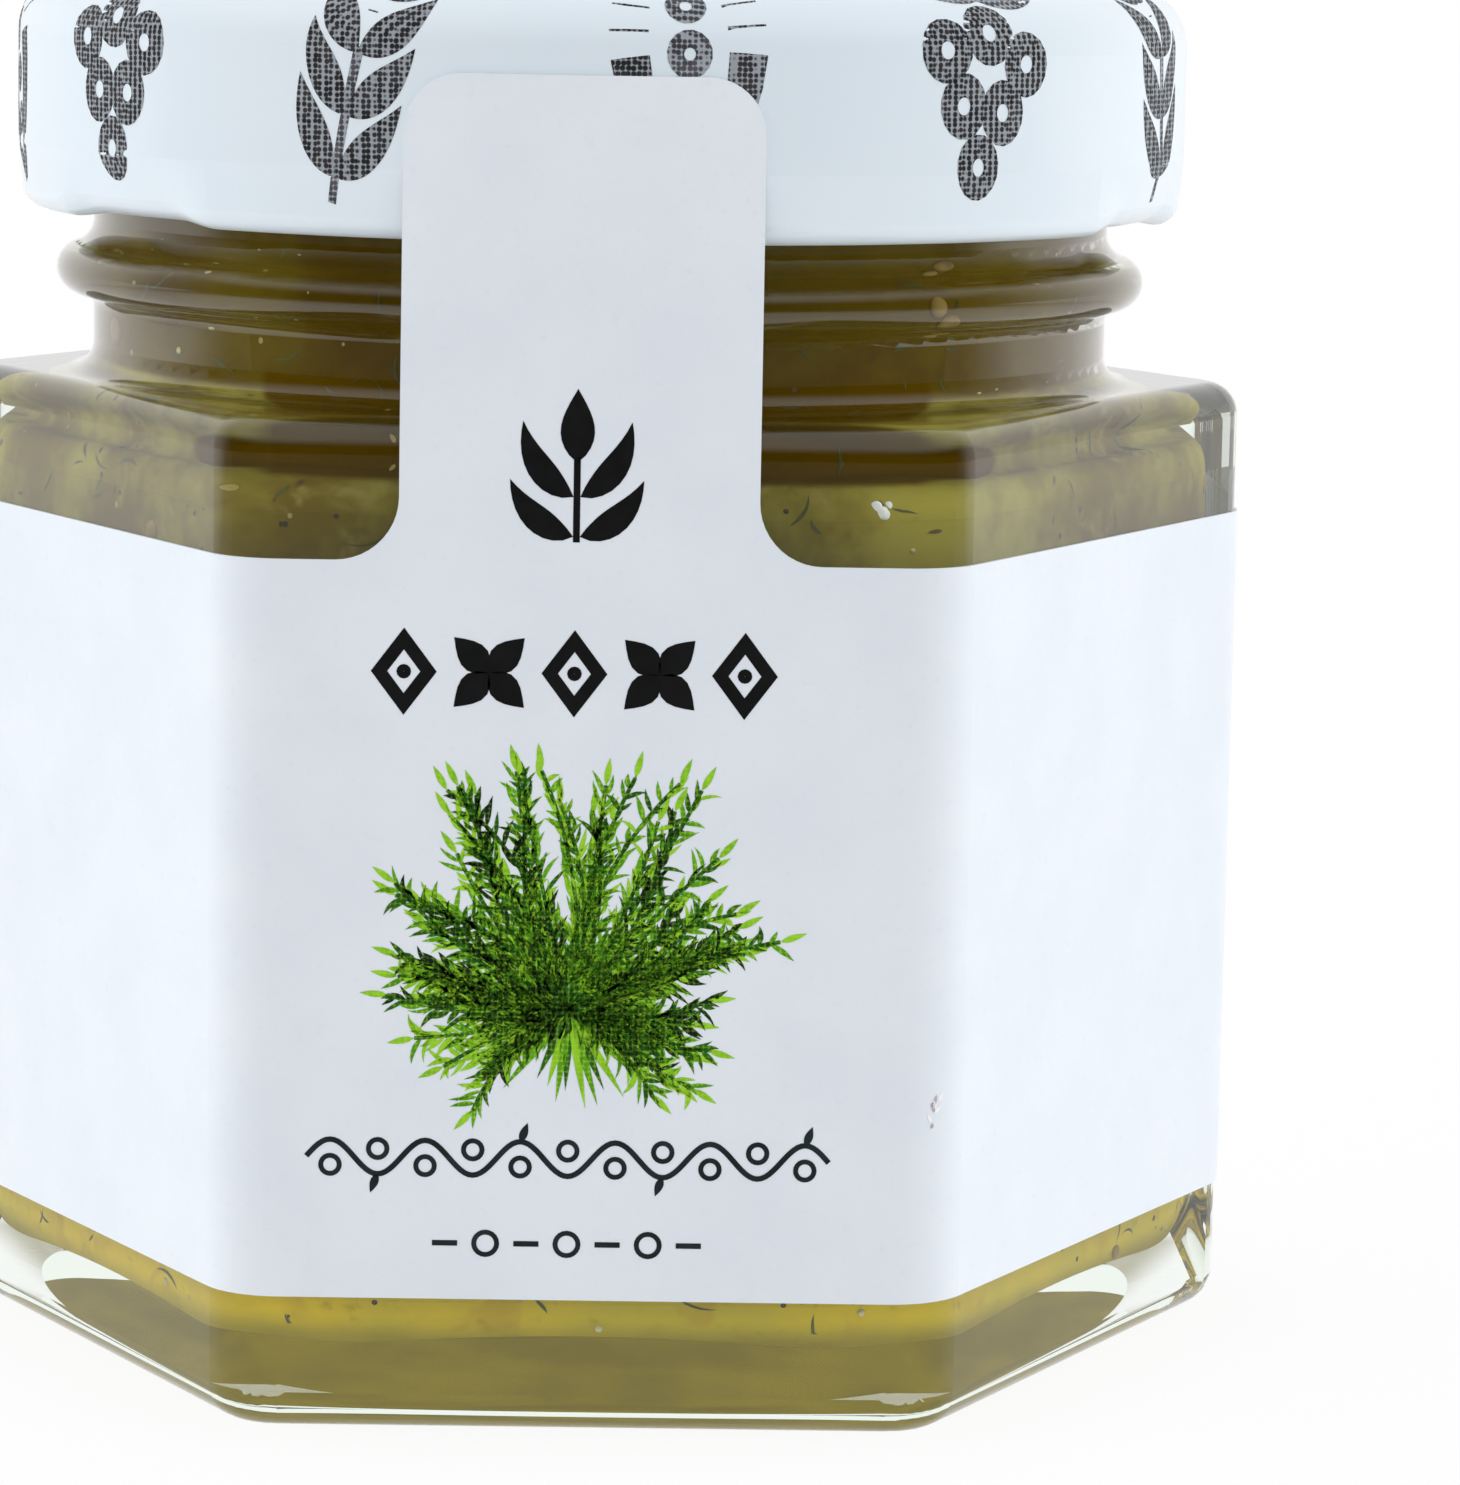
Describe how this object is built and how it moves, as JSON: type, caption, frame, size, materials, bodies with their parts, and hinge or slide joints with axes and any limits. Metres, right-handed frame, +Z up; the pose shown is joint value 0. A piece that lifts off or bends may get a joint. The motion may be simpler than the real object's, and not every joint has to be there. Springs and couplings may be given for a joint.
{
  "type": "small hexagonal glass jar of dip",
  "caption": "Six-sided clear glass jar filled with an olive-brown herb and mustard dip, shut with a white twist-off lid, wrapped in a paper label whose tab seals the lid",
  "frame": {"origin": "middle of the base, on the surface the jar stands on", "axes": "+Z up along the jar's axis; the labelled face with the tab looks towards -Y; two upright corners lie on X"},
  "size_m": [0.0496, 0.0447, 0.0516],
  "materials": {
    "glass": "clear, faintly green",
    "dip": "wet, speckled",
    "lid": "white gloss lacquer",
    "label": "smooth uncoated paper"
  },
  "bodies": {
    "root": {"jar": "glass", "dip": "dip", "lid": "lid", "label": "label"}
  },
  "joints": []
}
